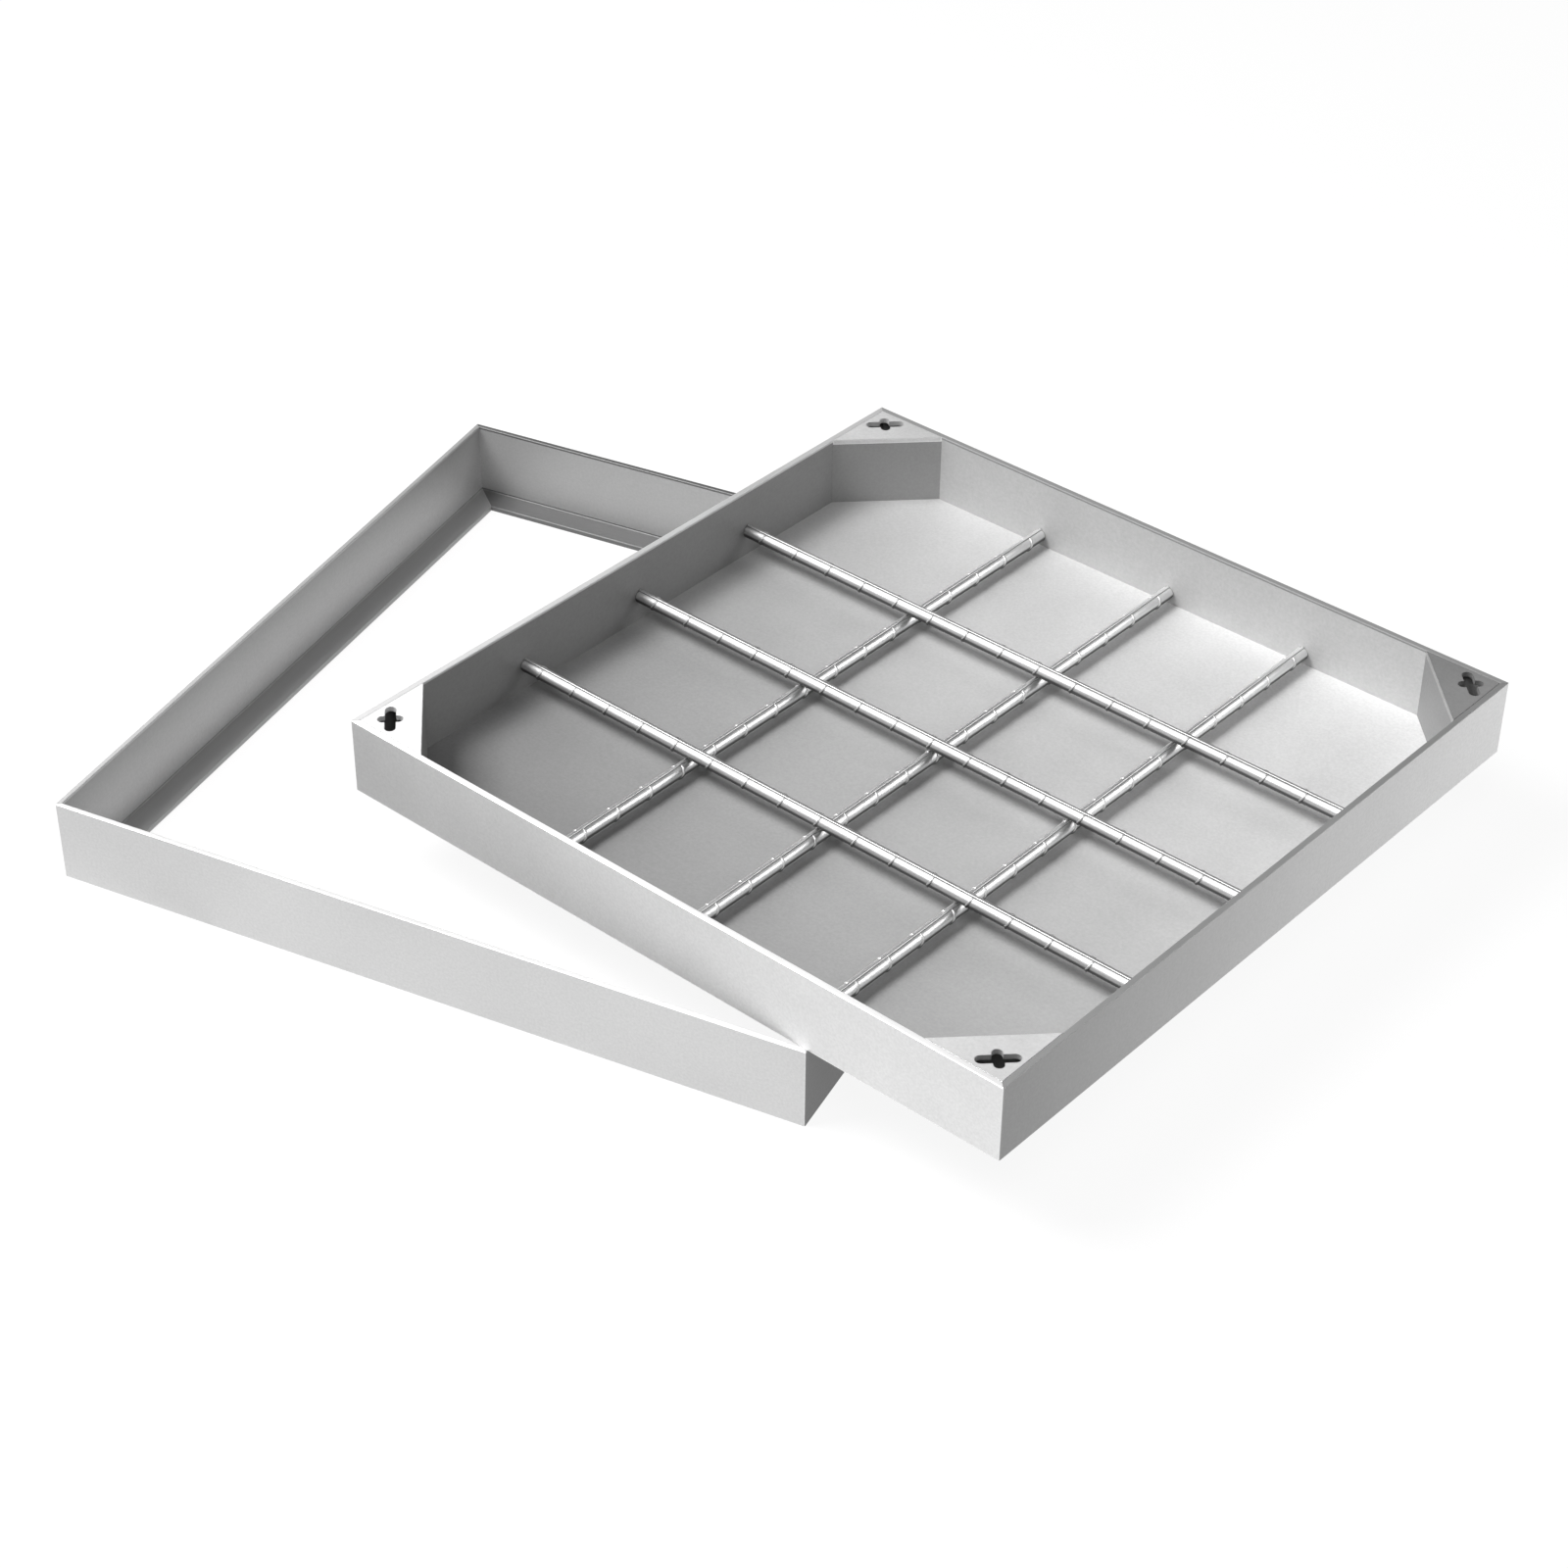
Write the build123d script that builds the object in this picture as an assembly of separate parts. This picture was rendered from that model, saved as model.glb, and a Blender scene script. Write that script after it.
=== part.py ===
from build123d import *
from math import cos, radians, sin, sqrt
import os

# Recessed access cover in stainless steel: a square frame of angle section, and the infill tray
# that belongs in it, lifted out and laid across the frame. The frame stands on Z = 0.
# The tray takes paving: it is a welded pan with two layers of ribbed bars to key the mortar,
# and a lifting pocket with a cross-shaped keyhole in each corner.

# Frame: four mitred lengths of angle section
frame_side = 600.0
frame_height = 65.0
frame_sheet = 4.0
ledge_width = 25.0
heel_radius = 1.5
frame_edge_radius = 0.8

# Upright outer corners of the frame and the tray, welded and ground round
ground_corner_radius = 1.5

# Tray pan: four mitred flat bars around a floor plate
tray_clearance = 1.0
tray_wall_sheet = 5.0
tray_floor_sheet = 3.0
tray_edge_radius = 0.8

# Corner plates, their keyholes and the pocket walls under them
corner_leg = 62.0
corner_sheet = 4.0
pocket_sheet = 3.0
key_inset = 15.0
key_slot_length = 30.0
key_slot_width = 8.0
key_cross_length = 18.5
key_cross_width = 7.5

# Ribbed reinforcing bars, in two crossing layers. The core is drawn with flats to keep it light.
bar_diameter = 12.0
bar_core_diameter = 10.8
bar_core_flats = 12
bars_per_layer = 3
bar_spacing = 125.0
bar_floor_gap = 3.0
bar_crossing_gap = 0.05
seam_width = 2.0
rib_pitch = 34.0
rib_width = 2.0
rib_lean = 30.0
rib_shoulder_height = 0.4
rib_crest_angle = 15.0
rib_shoulder_angle = 45.0
rib_end_margin = 12.0

# Where the lifted tray lies on the frame
tray_turn = -14.9
tray_shift_x = 244.5
tray_shift_y = 22.8

# Sizes that follow from the ones above. The root between wall and ledge is no rounder than the
# tray's clearance, so that the tray's sharp lower edge seats flat on the ledge.
root_radius = tray_clearance
tray_side = frame_side - 2 * (frame_sheet + tray_clearance)
tray_height = frame_height - frame_sheet
tray_inner_half = tray_side / 2 - tray_wall_sheet
bar_length = 2 * tray_inner_half
bar_radius = bar_diameter / 2
lower_bar_height = tray_floor_sheet + bar_floor_gap + bar_radius
upper_bar_height = lower_bar_height + bar_diameter + bar_crossing_gap

# The four sides in order round a square, and the quarter turns that bring the front one there
side_turns = {"front": 0, "right": 90, "back": 180, "left": 270}
corner_turns = {"back_right": 0, "back_left": 90, "front_left": 180, "front_right": 270}


# One mitred side of a square, cut from a straight length by a wedge with its tip at the centre
def mitred_side(section, side, height):
    length = extrude(Plane.YZ.offset(-side / 2) * Pos(-side / 2, 0) * section, amount=side)
    corner = side / 2
    wedge = make_face(Polyline((-corner, -corner), (corner, -corner), (0, 0), close=True))
    ground = RectangleRounded(side, side, ground_corner_radius)
    return length & extrude(wedge & ground, amount=height)


# Angle section: heel at the origin, wall standing along Y and ledge lying along X
def angle_section():
    points = [
        (0, 0),
        (ledge_width, 0),
        (ledge_width, frame_sheet),
        (frame_sheet, frame_sheet),
        (frame_sheet, frame_height),
        (0, frame_height),
    ]
    section = make_face(Polyline(*points, close=True))
    section = fillet(section.vertices().sort_by_distance((0, 0))[0], heel_radius)
    section = fillet(section.vertices().sort_by_distance((frame_sheet, frame_sheet))[0], root_radius)
    rims = section.vertices().filter_by(lambda v: v.Y > frame_height - frame_edge_radius)
    section = fillet(rims, frame_edge_radius)
    toe = section.vertices().sort_by_distance((ledge_width, frame_sheet))[0]
    return fillet(toe, frame_edge_radius)


# Flat bar on edge, with both of its top edges eased
def wall_section():
    bar = Pos(tray_wall_sheet / 2, tray_height / 2) * Rectangle(tray_wall_sheet, tray_height)
    rims = bar.vertices().filter_by(lambda v: v.Y > tray_height / 2)
    return fillet(rims, tray_edge_radius)


# Cross-shaped keyhole: a long slot along the plate's long edge and a short one across it
def keyhole():
    long_slot = Rot(0, 0, -45) * SlotOverall(key_slot_length, key_slot_width)
    short_slot = Rot(0, 0, 45) * SlotOverall(key_cross_length, key_cross_width)
    return long_slot + short_slot


# Triangular plate let in flush with the rim, for the corner at +X +Y
def corner_plate():
    inner = tray_inner_half
    points = [(inner, inner), (inner - corner_leg, inner), (inner, inner - corner_leg)]
    plate = make_face(Polyline(*points, close=True))
    key_centre = inner - key_inset
    plate -= Pos(key_centre, key_centre) * keyhole()
    return Pos(0, 0, tray_height - corner_sheet) * extrude(plate, amount=corner_sheet)


# Diagonal wall that closes the pocket under a corner plate, mitred to the tray walls
def pocket_wall():
    inner = tray_inner_half
    open_end = inner - corner_leg
    pocket_end = open_end + pocket_sheet * sqrt(2)
    points = [(open_end, inner), (pocket_end, inner), (inner, pocket_end), (inner, open_end)]
    wall = make_face(Polyline(*points, close=True))
    height = tray_height - corner_sheet - tray_floor_sheet
    return Pos(0, 0, tray_floor_sheet) * extrude(wall, amount=height)


# One slanted crescent rib on the side of the bar that faces +Y or -Y. Its crest stands as high as
# the seams at the middle, falls to a shoulder and runs into the core.
def crescent_rib(place, facing):
    shoulder_radius = bar_core_diameter / 2 + rib_shoulder_height
    outline = []
    for angle, radius in (
        (-rib_shoulder_angle, shoulder_radius),
        (-rib_crest_angle, bar_radius),
        (rib_crest_angle, bar_radius),
        (rib_shoulder_angle, shoulder_radius),
    ):
        across = facing * radius * cos(radians(angle))
        up = radius * sin(radians(angle))
        outline.append((across, up / cos(radians(rib_lean))))
    root = [(0, outline[-1][1]), (0, outline[0][1])]
    rib_plane = Plane(
        origin=(place, 0, 0),
        x_dir=(0, 1, 0),
        z_dir=Vector(1, 0, 0).rotate(Axis.Y, -rib_lean * facing),
    )
    rib = make_face(Polyline(*outline, *root, close=True))
    return extrude(rib_plane * rib, amount=rib_width / 2, both=True)


# Ribbed bar along X: round core, a seam along its top and bottom, crescent ribs between them
def ribbed_bar():
    half_flat = 180 / bar_core_flats
    core = RegularPolygon(bar_core_diameter / 2, bar_core_flats, rotation=half_flat)
    bar = extrude(Plane.YZ * core, amount=bar_length / 2, both=True)
    bar += Box(bar_length, seam_width, bar_diameter)
    rib_count = int((bar_length - 2 * rib_end_margin) / rib_pitch) + 1
    first_rib = -(rib_count - 1) * rib_pitch / 2
    ribs = []
    for index in range(rib_count):
        for facing in (-1, 1):
            ribs.append(crescent_rib(first_rib + index * rib_pitch, facing))
    return bar + ribs


frame_nodes = {}
frame_length = mitred_side(angle_section(), frame_side, frame_height)
for name, turn in side_turns.items():
    frame_nodes[f"frame_{name}"] = Rot(0, 0, turn) * frame_length

tray_nodes = {}
tray_floor = Box(2 * tray_inner_half, 2 * tray_inner_half, tray_floor_sheet)
tray_nodes["tray_floor"] = Pos(0, 0, tray_floor_sheet / 2) * tray_floor

tray_wall = mitred_side(wall_section(), tray_side, tray_height)
for name, turn in side_turns.items():
    tray_nodes[f"tray_wall_{name}"] = Rot(0, 0, turn) * tray_wall

plate = corner_plate()
pocket = pocket_wall()
for name, turn in corner_turns.items():
    tray_nodes[f"corner_plate_{name}"] = Rot(0, 0, turn) * plate
    tray_nodes[f"pocket_wall_{name}"] = Rot(0, 0, turn) * pocket

bar = ribbed_bar()
for index in range(bars_per_layer):
    offset = (index - (bars_per_layer - 1) / 2) * bar_spacing
    tray_nodes[f"upper_bar_{index + 1}"] = Pos(0, offset, upper_bar_height) * bar
    tray_nodes[f"lower_bar_{index + 1}"] = Pos(offset, 0, lower_bar_height) * Rot(0, 0, 90) * bar

# The tray lies flat on the frame's rim. The origin is under the middle of the whole.
tray_place = Pos(tray_shift_x, tray_shift_y, frame_height) * Rot(0, 0, tray_turn)
nodes = dict(frame_nodes)
for name, shape in tray_nodes.items():
    nodes[name] = tray_place * shape

whole = Compound(children=[Part() + shape for shape in nodes.values()]).bounding_box()
to_origin = Pos(-whole.center().X, -whole.center().Y, -whole.min.Z)

os.makedirs("parts", exist_ok=True)
for name, shape in nodes.items():
    export_step(to_origin * shape, f"parts/{name}.step")
print("origin moved by", to_origin.position, "whole size", whole.size)
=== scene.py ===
from math import asin, cos, pi, radians, sin, tan
import bpy
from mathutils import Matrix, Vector


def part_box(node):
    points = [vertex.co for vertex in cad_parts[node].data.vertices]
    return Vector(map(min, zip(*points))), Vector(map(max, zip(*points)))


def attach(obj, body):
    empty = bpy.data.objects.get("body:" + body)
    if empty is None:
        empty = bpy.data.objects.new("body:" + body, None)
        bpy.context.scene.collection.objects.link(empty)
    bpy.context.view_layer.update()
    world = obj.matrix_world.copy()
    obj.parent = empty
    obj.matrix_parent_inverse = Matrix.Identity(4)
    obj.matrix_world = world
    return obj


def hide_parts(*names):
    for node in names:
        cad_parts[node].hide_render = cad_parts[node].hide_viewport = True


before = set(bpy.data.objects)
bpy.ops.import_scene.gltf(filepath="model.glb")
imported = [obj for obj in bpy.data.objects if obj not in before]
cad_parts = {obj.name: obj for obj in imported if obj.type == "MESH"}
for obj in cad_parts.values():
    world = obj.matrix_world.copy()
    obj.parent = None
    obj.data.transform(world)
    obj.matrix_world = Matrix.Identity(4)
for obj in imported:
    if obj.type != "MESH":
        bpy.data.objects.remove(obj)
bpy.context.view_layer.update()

# The camera stands at the front right and looks down on the cover. It was fitted to the corners
# of the frame and the tray, as a picture of 1600 by 1600 pixels.
picture_width = 1600
focal_length_pixels = 3458.0
picture_middle_x = 750.6
picture_middle_y = 850.0
sensor_width = 36.0
camera_place = (0.86365, -1.8376, 1.5255)
camera_down = radians(37.37)
camera_round = radians(26.88)
camera_data = bpy.data.cameras.new("camera")
camera_data.sensor_width = sensor_width
camera_data.lens = focal_length_pixels / picture_width * sensor_width
camera_data.shift_x = 0.5 - picture_middle_x / picture_width
camera_data.shift_y = picture_middle_y / picture_width - 0.5
camera = bpy.data.objects.new("camera", camera_data)
camera.location = camera_place
camera.rotation_euler = (pi / 2 - camera_down, 0, camera_round)
bpy.context.scene.collection.objects.link(camera)
bpy.context.scene.camera = camera
bpy.context.scene.view_settings.view_transform = "Standard"

# The studio is a plain pale room with a white floor, which the steel reflects too. The floor
# keeps a faint shadow of the cover.
floor_size = 16.0
floor_grey = 0.9
floor_white_share = 0.9
room_grey = 0.12


def join_nodes(owner, start, end):
    owner.node_tree.links.new(start, end)


bpy.ops.object.select_all(action="DESELECT")
bpy.ops.mesh.primitive_plane_add(size=floor_size, location=(0, 0, 0))
stage_floor = bpy.context.active_object
stage_floor.name = "stage_floor"
paint = bpy.data.materials.new("stage_paint")
paint.use_nodes = True
nodes = paint.node_tree.nodes
nodes.clear()
output = nodes.new("ShaderNodeOutputMaterial")
lit = nodes.new("ShaderNodeBsdfDiffuse")
lit.inputs["Color"].default_value = (floor_grey, floor_grey, floor_grey, 1)
white = nodes.new("ShaderNodeEmission")
ray = nodes.new("ShaderNodeLightPath")
seen = nodes.new("ShaderNodeMath")
seen.operation = "MAXIMUM"
share = nodes.new("ShaderNodeMath")
share.operation = "MULTIPLY"
share.inputs[1].default_value = floor_white_share
mix = nodes.new("ShaderNodeMixShader")
join_nodes(paint, ray.outputs["Is Camera Ray"], seen.inputs[0])
join_nodes(paint, ray.outputs["Is Glossy Ray"], seen.inputs[1])
join_nodes(paint, seen.outputs[0], share.inputs[0])
join_nodes(paint, share.outputs[0], mix.inputs[0])
join_nodes(paint, lit.outputs[0], mix.inputs[1])
join_nodes(paint, white.outputs[0], mix.inputs[2])
join_nodes(paint, mix.outputs[0], output.inputs["Surface"])
stage_floor.data.materials.append(paint)

world = bpy.data.worlds.new("studio")
bpy.context.scene.world = world
world.use_nodes = True
nodes = world.node_tree.nodes
nodes.clear()
output = nodes.new("ShaderNodeOutputWorld")
walls = nodes.new("ShaderNodeBackground")
walls.inputs["Color"].default_value = (room_grey, room_grey, room_grey, 1)
backdrop = nodes.new("ShaderNodeBackground")
backdrop.inputs["Color"].default_value = (1, 1, 1, 1)
ray = nodes.new("ShaderNodeLightPath")
mix = nodes.new("ShaderNodeMixShader")
join_nodes(world, ray.outputs["Is Camera Ray"], mix.inputs[0])
join_nodes(world, walls.outputs[0], mix.inputs[1])
join_nodes(world, backdrop.outputs[0], mix.inputs[2])
join_nodes(world, mix.outputs[0], output.inputs["Surface"])

# Four equal soft boxes stand round the cover, all at one distance. The main light comes from the
# left, so the inside of the left walls lies in shade and the tray's floor is lighter to the right.
box_distance = 3.0
box_side = 1.4
box_aim = Vector((0, 0, 0.05))


def add_soft_box(name, round_from_back, above_floor, watts):
    sideways = radians(round_from_back)
    upward = radians(above_floor)
    toward = Vector((sin(sideways) * cos(upward), cos(sideways) * cos(upward), sin(upward)))
    box_data = bpy.data.lights.new(name, "AREA")
    box_data.shape = "SQUARE"
    box_data.size = box_side
    box_data.energy = watts
    box = bpy.data.objects.new(name, box_data)
    box.location = toward * box_distance
    box.rotation_euler = (box_aim - box.location).to_track_quat("-Z", "Y").to_euler()
    box.visible_camera = False
    bpy.context.scene.collection.objects.link(box)


add_soft_box("main", round_from_back=240, above_floor=55, watts=122)
add_soft_box("left", round_from_back=270, above_floor=30, watts=28)
add_soft_box("front_right", round_from_back=150, above_floor=55, watts=28)
add_soft_box("back_right", round_from_back=60, above_floor=30, watts=20)

# Frame of the cover: four mitred lengths of stainless angle, welded at the corners and ground.
# The steel is blasted matt, with a fine grain along each length; edges are rubbed and painted
# highlight.
grain_across = 2600
grain_along = 45
grain_detail = 3.0
speckle_scale = 480
speckle_detail = 2.0
cloud_scale = 9
cloud_detail = 3.0
noise_low = 0.6
noise_high = 1.4
tone_spread = 0.075
brightest_tone = 0.92
roughness_spread = 0.05
matt_roughness = 0.65
bump_strength = 0.35
bump_depth = 0.00005
edge_wear_and_highlight_width = 0.0008
edge_wear_and_highlight = 1.3
frame_edge_wear_and_highlight = 1.15
edge_roughness_share = 0.75
painted_shade_width = 0.003
painted_shade_roughness = 0.7
closeness_samples = 8


def add_noise(material, vector, scale, detail):
    noise = material.node_tree.nodes.new("ShaderNodeTexNoise")
    noise.inputs["Scale"].default_value = scale
    noise.inputs["Detail"].default_value = detail
    join_nodes(material, vector, noise.inputs["Vector"])
    return noise.outputs["Fac"]


def add_mapping(material, vector, change, amounts):
    mapping = material.node_tree.nodes.new("ShaderNodeMapping")
    mapping.inputs[change].default_value = amounts
    join_nodes(material, vector, mapping.inputs["Vector"])
    return mapping.outputs["Vector"]


# How far a place lies along a way, or how much a surface faces it
def add_reach(material, vector, way):
    reach = material.node_tree.nodes.new("ShaderNodeVectorMath")
    reach.operation = "DOT_PRODUCT"
    reach.inputs[1].default_value = way
    join_nodes(material, vector, reach.inputs[0])
    return reach.outputs["Value"]


def add_math(material, operation, *values):
    math = material.node_tree.nodes.new("ShaderNodeMath")
    math.operation = operation
    for socket, value in zip(math.inputs, values):
        if isinstance(value, (int, float)):
            socket.default_value = value
        else:
            join_nodes(material, value, socket)
    return math.outputs[0]


def add_range(material, value, start, end, low, high):
    spread = material.node_tree.nodes.new("ShaderNodeMapRange")
    limits = {"From Min": start, "From Max": end, "To Min": low, "To Max": high}
    for socket, number in limits.items():
        spread.inputs[socket].default_value = number
    join_nodes(material, value, spread.inputs["Value"])
    return spread.outputs["Result"]


def add_blend(material, share, first, second):
    blend = material.node_tree.nodes.new("ShaderNodeMix")
    blend.data_type = "FLOAT"
    join_nodes(material, share, blend.inputs["Factor"])
    join_nodes(material, first, blend.inputs["A"])
    blend.inputs["B"].default_value = second
    return blend.outputs["Result"]


# How near the piece's own skin comes: behind the surface at an outer edge, before it in a hollow
def add_closeness(material, inside, width):
    occlusion = material.node_tree.nodes.new("ShaderNodeAmbientOcclusion")
    occlusion.samples = closeness_samples
    occlusion.inside = inside
    occlusion.only_local = True
    occlusion.inputs["Distance"].default_value = width
    nearly_open = 0.95
    well_hidden = 0.6
    return add_range(material, occlusion.outputs["AO"], nearly_open, well_hidden, 0, 1)


# Painted light and shade: the tone grows by a share of itself over a length along a way, unchanged
# at the middle
def add_painted_gradient(material, colour, place, middle, way, length, share):
    step = Vector(way).normalized() / length
    start = 1 - share * Vector(middle).dot(step)
    growth = add_math(material, "MULTIPLY_ADD", add_reach(material, place, step), share, start)
    return add_math(material, "MULTIPLY", colour, growth)


# Paints another tone, as painted light or shade, on what faces up or inward between two heights,
# such as a rim or a ledge
def add_painted_level(material, colour, place, surface, painted_tone, bottom, top, inward):
    turned_away = 0.3
    turned_to = 0.8
    height = add_reach(material, place, (0, 0, 1))
    upward = add_reach(material, surface, (0, 0, 1))
    facing = add_math(material, "MAXIMUM", upward, add_reach(material, surface, inward))
    facing = add_range(material, facing, turned_away, turned_to, 0, 1)
    over = add_math(material, "GREATER_THAN", height, bottom)
    under = add_math(material, "LESS_THAN", height, top)
    share = add_math(material, "MULTIPLY", facing, add_math(material, "MULTIPLY", over, under))
    return add_blend(material, share, colour, painted_tone)


# How much a surface is a hollow or an underside, where shade falls; this mask carries painted
# shade
def add_painted_shade_mask(material, surface):
    underside_start = 0.25
    underside_full = -0.05
    hollow = add_closeness(material, False, painted_shade_width)
    upward = add_reach(material, surface, (0, 0, 1))
    downward = add_range(material, upward, underside_start, underside_full, 0, 1)
    return add_math(material, "MAXIMUM", hollow, downward)


# The finish of one piece. Edges are made a number of times as bright, partly as rubbed wear
# and partly as a painted highlight; the hollows and the underside lose a share of the tone as
# painted shade. A gradient of painted light holds a middle, way, length and share, and each
# level of painted tone a tone, bottom, top and the way that is inward.
def satin_steel(
    name, tone, roughness, turn, length_axis, painted_levels=(), painted_gradient=None, wear_and_highlight=edge_wear_and_highlight, painted_shade=0
):
    steel = bpy.data.materials.new(name)
    steel.use_nodes = True
    nodes = steel.node_tree.nodes
    shader = nodes["Principled BSDF"]
    shader.inputs["Metallic"].default_value = 1.0
    place = nodes.new("ShaderNodeTexCoord").outputs["Object"]
    surface = nodes.new("ShaderNodeNewGeometry").outputs["Normal"]
    along = add_mapping(steel, place, "Rotation", (0, 0, turn))

    # Grain is long fine scratches, speckle the blasted skin, cloud a slow change of shade
    grain_scale = [grain_across, grain_across, grain_across]
    grain_scale["XYZ".index(length_axis)] = grain_along
    grain = add_noise(steel, add_mapping(steel, along, "Scale", grain_scale), 1, grain_detail)
    speckle = add_noise(steel, along, speckle_scale, speckle_detail)
    cloud = add_noise(steel, along, cloud_scale, cloud_detail)

    shade = add_math(steel, "ADD", speckle, cloud)
    darkest = tone * (1 - tone_spread)
    lightest = tone * (1 + tone_spread)
    colour = add_range(steel, shade, noise_low, noise_high, darkest, lightest)
    uneven = add_math(steel, "ADD", grain, cloud)
    smoothest = roughness - roughness_spread
    roughest = roughness + roughness_spread
    rough = add_range(steel, uneven, noise_low, noise_high, smoothest, roughest)

    if painted_gradient:
        colour = add_painted_gradient(steel, colour, place, *painted_gradient)
    for painted_level in painted_levels:
        colour = add_painted_level(steel, colour, place, surface, *painted_level)
    # Edges are made lighter: partly rubbed wear, partly a painted highlight
    if wear_and_highlight:
        edge = add_closeness(steel, True, edge_wear_and_highlight_width)
        rubbed_and_highlit = add_math(steel, "MULTIPLY", colour, add_range(steel, edge, 0, 1, 1, wear_and_highlight))
        colour = add_math(steel, "MINIMUM", rubbed_and_highlit, brightest_tone)
        rough = add_blend(steel, edge, rough, roughness * edge_roughness_share)
    # Hollows and undersides are painted darker, a painted shade, and made rougher
    if painted_shade:
        painted_shade_share = add_painted_shade_mask(steel, surface)
        colour = add_blend(steel, painted_shade_share, colour, tone * (1 - painted_shade))
        rough = add_blend(steel, painted_shade_share, rough, painted_shade_roughness)
    join_nodes(steel, colour, shader.inputs["Base Color"])
    join_nodes(steel, rough, shader.inputs["Roughness"])

    bump = nodes.new("ShaderNodeBump")
    bump.inputs["Strength"].default_value = bump_strength
    bump.inputs["Distance"].default_value = bump_depth
    join_nodes(steel, add_math(steel, "ADD", grain, speckle), bump.inputs["Height"])
    join_nodes(steel, bump.outputs["Normal"], shader.inputs["Normal"])
    return steel


def dress(node, material):
    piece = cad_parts[node]
    piece.data.materials.clear()
    piece.data.materials.append(material)


rim_depth = 0.002
ledge_height = 0.0055
frame_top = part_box("frame_front")[1].z
frame_middle = (0, 0, frame_top / 2)
# Each side's tone, rim tone and ledge tone are lit and shaded copies of one steel, painted light
# and shade: the right side and back rim are painted dark, and the left side lighter towards its
# foot.
for side, length_axis, tone, rim_tone, ledge_tone, share, inward in (
    ("front", "X", 0.72, 0.72, 0.60, 0.0, (0, 1, 0)),
    ("right", "Y", 0.26, 0.42, 0.40, 0.0, (-1, 0, 0)),
    ("back", "X", 0.51, 0.20, 0.20, 0.0, (0, -1, 0)),
    ("left", "Y", 0.55, 0.52, 0.42, 0.3, (1, 0, 0)),
):
    painted_levels = (
        (rim_tone, frame_top - rim_depth, frame_top + rim_depth, inward),
        (ledge_tone, 0, ledge_height, inward),
    )
    painted_gradient = (frame_middle, (0, 0, -1), frame_top / 2, share)
    steel = satin_steel(
        f"frame_steel_{side}", tone, matt_roughness, 0, length_axis, painted_levels, painted_gradient, frame_edge_wear_and_highlight
    )
    dress(f"frame_{side}", steel)

# Tray pan: a floor plate inside four mitred flat bars, welded all round. It is stainless too,
# and lies on the frame turned by the tray's angle. The plate is painted lighter to the back and
# right.
tray_turn = radians(-14.9)
tray_rightward = Vector((cos(tray_turn), sin(tray_turn), 0))
tray_backward = Vector((-sin(tray_turn), cos(tray_turn), 0))
low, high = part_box("tray_floor")
tray_middle = (low + high) / 2
tray_half = 0.29
tray_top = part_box("tray_wall_front")[1].z

floor_tone = 0.53
floor_roughness = 0.8
floor_growth = 0.44
painted_gradient = (tray_middle, tray_backward + tray_rightward / 2, tray_half, floor_growth)
steel = satin_steel(
    "tray_floor_steel", floor_tone, floor_roughness, -tray_turn, "X", painted_gradient=painted_gradient, wear_and_highlight=0
)
dress("tray_floor", steel)

back_wall_roughness = 0.85
# Each wall's tone and rim tone are lit and shaded copies of one steel, painted light and shade;
# the front wall is painted lighter to the right and the right wall lighter to the back.
for side, length_axis, tone, rim_tone, roughness, way, share, inward in (
    ("front", "X", 0.71, 0.92, matt_roughness, tray_rightward, 0.16, tray_backward),
    ("right", "Y", 0.60, 0.40, matt_roughness, tray_backward, 0.36, -tray_rightward),
    ("back", "X", 0.58, 0.37, back_wall_roughness, tray_rightward, 0.04, -tray_backward),
    ("left", "Y", 0.38, 0.72, matt_roughness, tray_backward, 0.0, tray_rightward),
):
    painted_levels = ((rim_tone, tray_top - rim_depth, tray_top + rim_depth, inward),)
    painted_gradient = (tray_middle, way, tray_half, share)
    steel = satin_steel(
        f"tray_steel_{side}", tone, roughness, -tray_turn, length_axis, painted_levels, painted_gradient
    )
    dress(f"tray_wall_{side}", steel)

# Corner pockets: in each corner of the tray a triangular plate with a cross-shaped keyhole lies
# flush with the rim, over a diagonal wall. Both are stainless and welded in.
# Each plate and pocket wall has its own tone: lit and shaded copies of one steel, painted light
# and shade
for corner, plate_tone, pocket_tone in (
    ("back_right", 0.42, 0.32),
    ("back_left", 0.80, 0.40),
    ("front_left", 0.92, 0.30),
    ("front_right", 0.78, 0.50),
):
    steel = satin_steel(f"plate_steel_{corner}", plate_tone, matt_roughness, -tray_turn, "X")
    dress(f"corner_plate_{corner}", steel)
    steel = satin_steel(
        f"pocket_steel_{corner}", pocket_tone, matt_roughness, -tray_turn, "X", wear_and_highlight=0
    )
    dress(f"pocket_wall_{corner}", steel)

# Reinforcing bars: two layers of three, ribbed like all bars made to grip mortar, lying across
# each other and welded to the walls at their ends. One is drawn along X, round with two seams
# and with its ribs rolled on, and then copied to each place.
bar_core_radius = 0.0052
bar_round_steps = 48
bar_end_chamfer = 0.0004
bar_smooth_angle = radians(32)
bar_painted_shade = 0.8
seam_width = 0.0021
seam_rounding = 0.0006
seam_rounding_steps = 3
rib_pitch = 0.034
rib_ring_radius = 0.0038
rib_ring_steps = 40
rib_wire_radius = 0.00125
rib_wire_steps = 12
rib_lean = radians(30)
rib_end_margin = 0.012

low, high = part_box("upper_bar_1")
bar_diameter = high.z - low.z
bar_length = ((high.x - low.x) - bar_diameter * abs(sin(tray_turn))) / cos(tray_turn)


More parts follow.
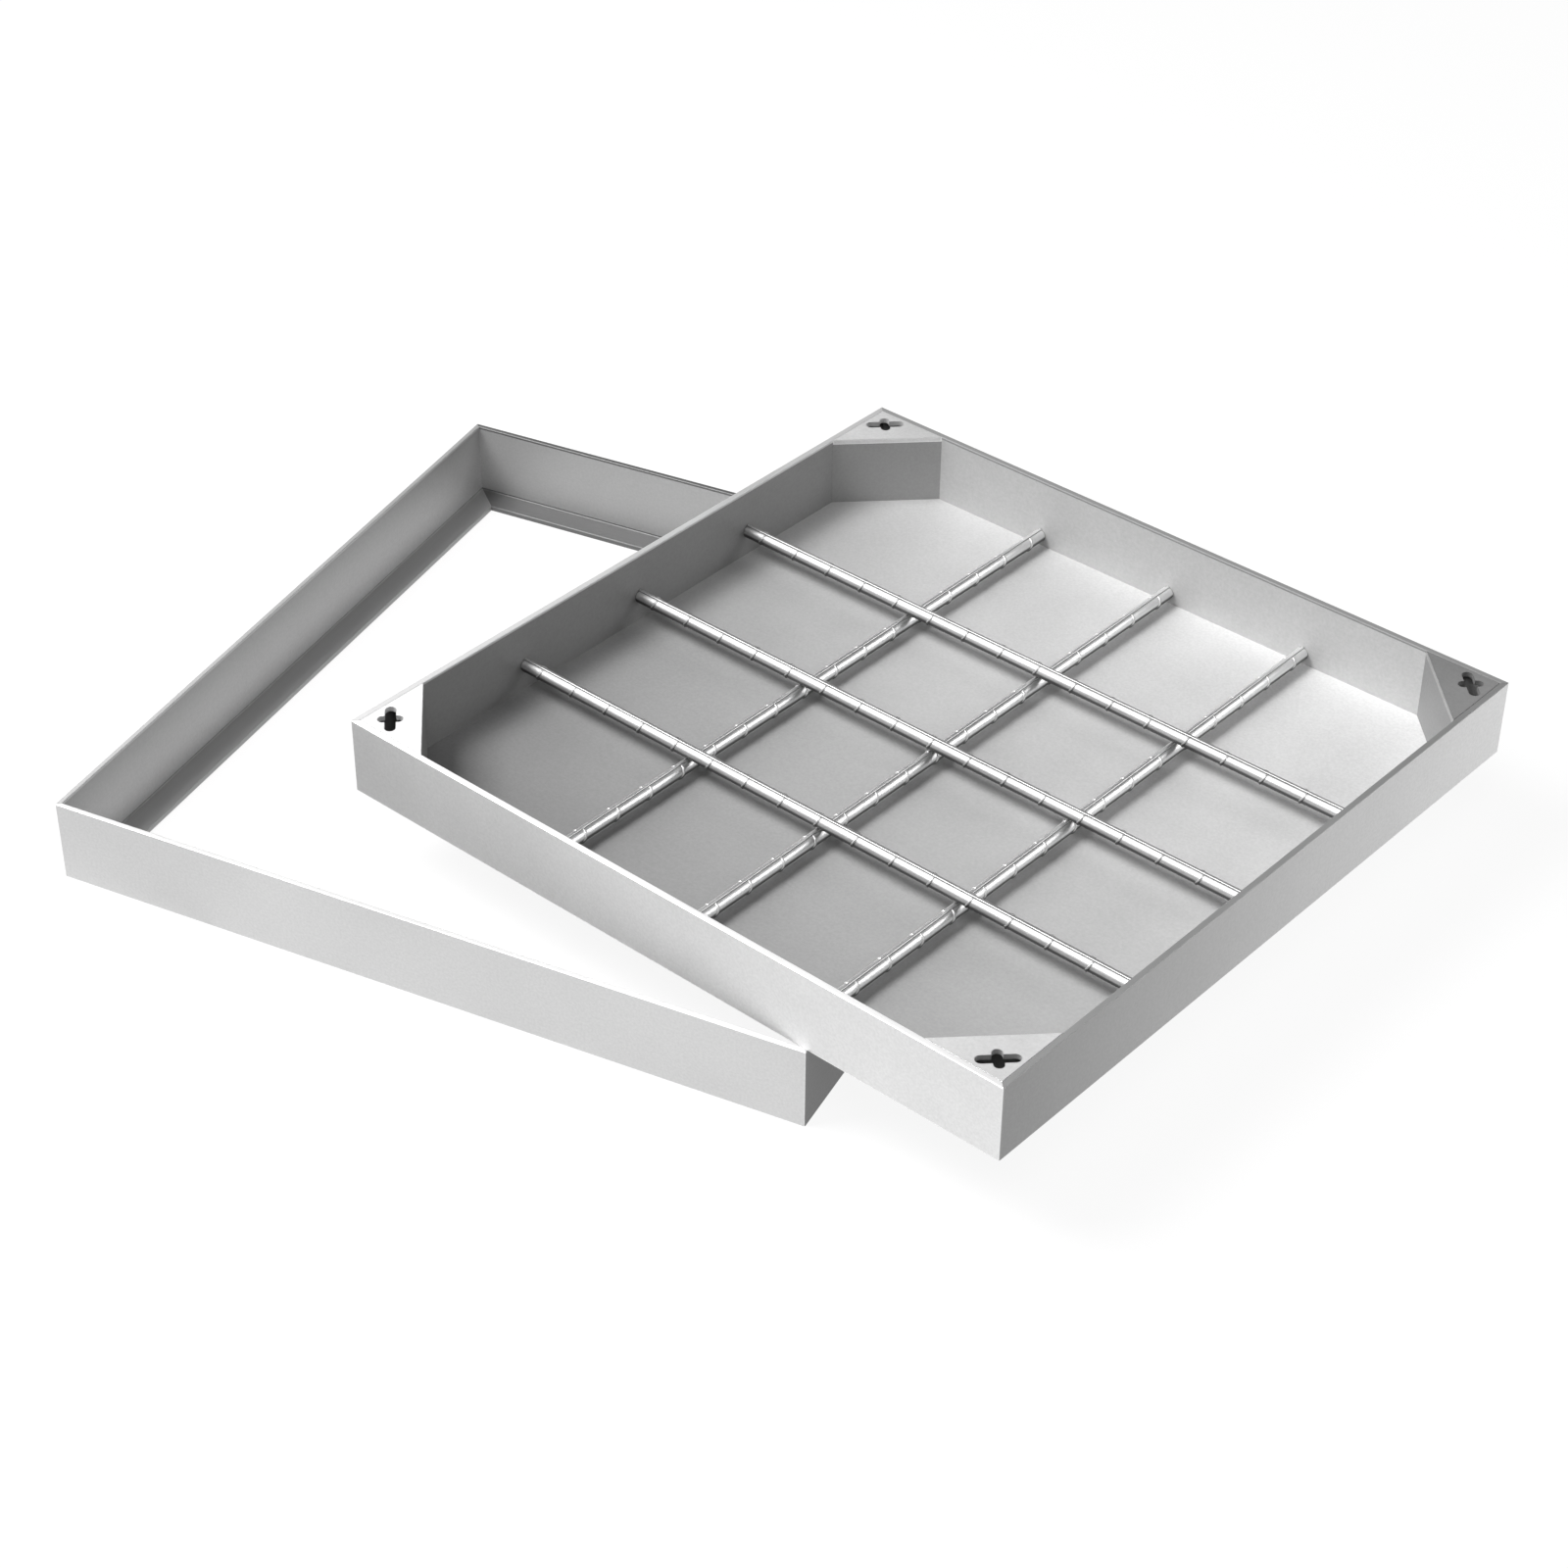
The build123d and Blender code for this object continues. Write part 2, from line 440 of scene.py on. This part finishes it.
# Bevels the edges that run the length of a piece, or else all the others
def bevel_edges(piece, lengthwise, offset, segments):
    bpy.ops.object.mode_set(mode="EDIT")
    bpy.ops.mesh.select_mode(type="EDGE")
    bpy.ops.mesh.select_all(action="DESELECT")
    bpy.ops.object.mode_set(mode="OBJECT")
    for edge in piece.data.edges:
        start, end = (piece.data.vertices[index].co for index in edge.vertices)
        edge.select = (abs(start.x - end.x) > bar_length / 2) == lengthwise
    bpy.ops.object.mode_set(mode="EDIT")
    bpy.ops.mesh.bevel(offset=offset, segments=segments, affect="EDGES")
    bpy.ops.object.mode_set(mode="OBJECT")


bpy.ops.object.select_all(action="DESELECT")
bpy.ops.mesh.primitive_cylinder_add(
    vertices=bar_round_steps, radius=bar_core_radius, depth=bar_length, rotation=(0, pi / 2, 0)
)
bar = bpy.context.active_object
bar.name = "ribbed_bar"
bpy.ops.object.transform_apply(location=True, rotation=True, scale=True)
bevel_edges(bar, False, bar_end_chamfer, 1)

bpy.ops.object.select_all(action="DESELECT")
bpy.ops.mesh.primitive_cube_add(size=1)
seams = bpy.context.active_object
bpy.ops.object.mode_set(mode="EDIT")
bpy.ops.transform.resize(value=(bar_length - bar_end_chamfer, seam_width, bar_diameter))
bpy.ops.object.mode_set(mode="OBJECT")
bevel_edges(seams, True, seam_rounding, seam_rounding_steps)

ring_lean = asin(tan(rib_lean))
ring_offset = bar_diameter / 2 - rib_ring_radius - rib_wire_radius
rib_count = int((bar_length - 2 * rib_end_margin) / rib_pitch) + 1
rings = []
for index in range(rib_count):
    for facing in (-1, 1):
        bpy.ops.object.select_all(action="DESELECT")
        bpy.ops.mesh.primitive_torus_add(
            location=((index - (rib_count - 1) / 2) * rib_pitch, facing * ring_offset, 0),
            rotation=(0, pi / 2 - facing * ring_lean, 0),
            major_radius=rib_ring_radius,
            minor_radius=rib_wire_radius,
            major_segments=rib_ring_steps,
            minor_segments=rib_wire_steps,
        )
        bpy.ops.object.transform_apply(location=True, rotation=True, scale=True)
        bpy.ops.object.mode_set(mode="EDIT")
        bpy.ops.transform.resize(value=(1, 1, 1 / cos(ring_lean)), center_override=(0, 0, 0))
        bpy.ops.object.mode_set(mode="OBJECT")
        rings.append(bpy.context.active_object)
for ring in rings:
    ring.select_set(True)
bpy.context.view_layer.objects.active = rings[0]
bpy.ops.object.join()
ribs = bpy.context.active_object

for added in (seams, ribs):
    bpy.ops.object.select_all(action="DESELECT")
    bar.select_set(True)
    bpy.context.view_layer.objects.active = bar
    bpy.ops.object.modifier_add(type="BOOLEAN")
    bar.modifiers[-1].operation = "UNION"
    bar.modifiers[-1].solver = "EXACT"
    bar.modifiers[-1].object = added
    bpy.ops.object.modifier_apply(modifier=bar.modifiers[-1].name)
    bpy.data.objects.remove(added)
bpy.ops.object.shade_smooth_by_angle(angle=bar_smooth_angle)

# Both layers are one steel: the lower layer's much lighter tone is painted light
for layer, quarter, length_axis, tone, roughness in (
    ("upper", 0, "X", 0.54, 0.50),
    ("lower", pi / 2, "Y", 0.92, 0.42),
):
    steel = satin_steel(
        f"{layer}_bar_steel", tone, roughness, -tray_turn, length_axis, painted_shade=bar_painted_shade
    )
    for index in (1, 2, 3):
        node = f"{layer}_bar_{index}"
        low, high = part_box(node)
        piece = bar.copy()
        piece.data = bar.data.copy()
        piece.name = f"ribbed_{node}"
        bpy.context.scene.collection.objects.link(piece)
        bpy.ops.object.select_all(action="DESELECT")
        piece.select_set(True)
        bpy.context.view_layer.objects.active = piece
        piece.location = (low + high) / 2
        piece.rotation_euler = (0, 0, tray_turn + quarter)
        bpy.ops.object.transform_apply(location=True, rotation=True, scale=True)
        piece.data.materials.append(steel)
        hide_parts(node)
        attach(piece, "root")
bpy.data.objects.remove(bar)
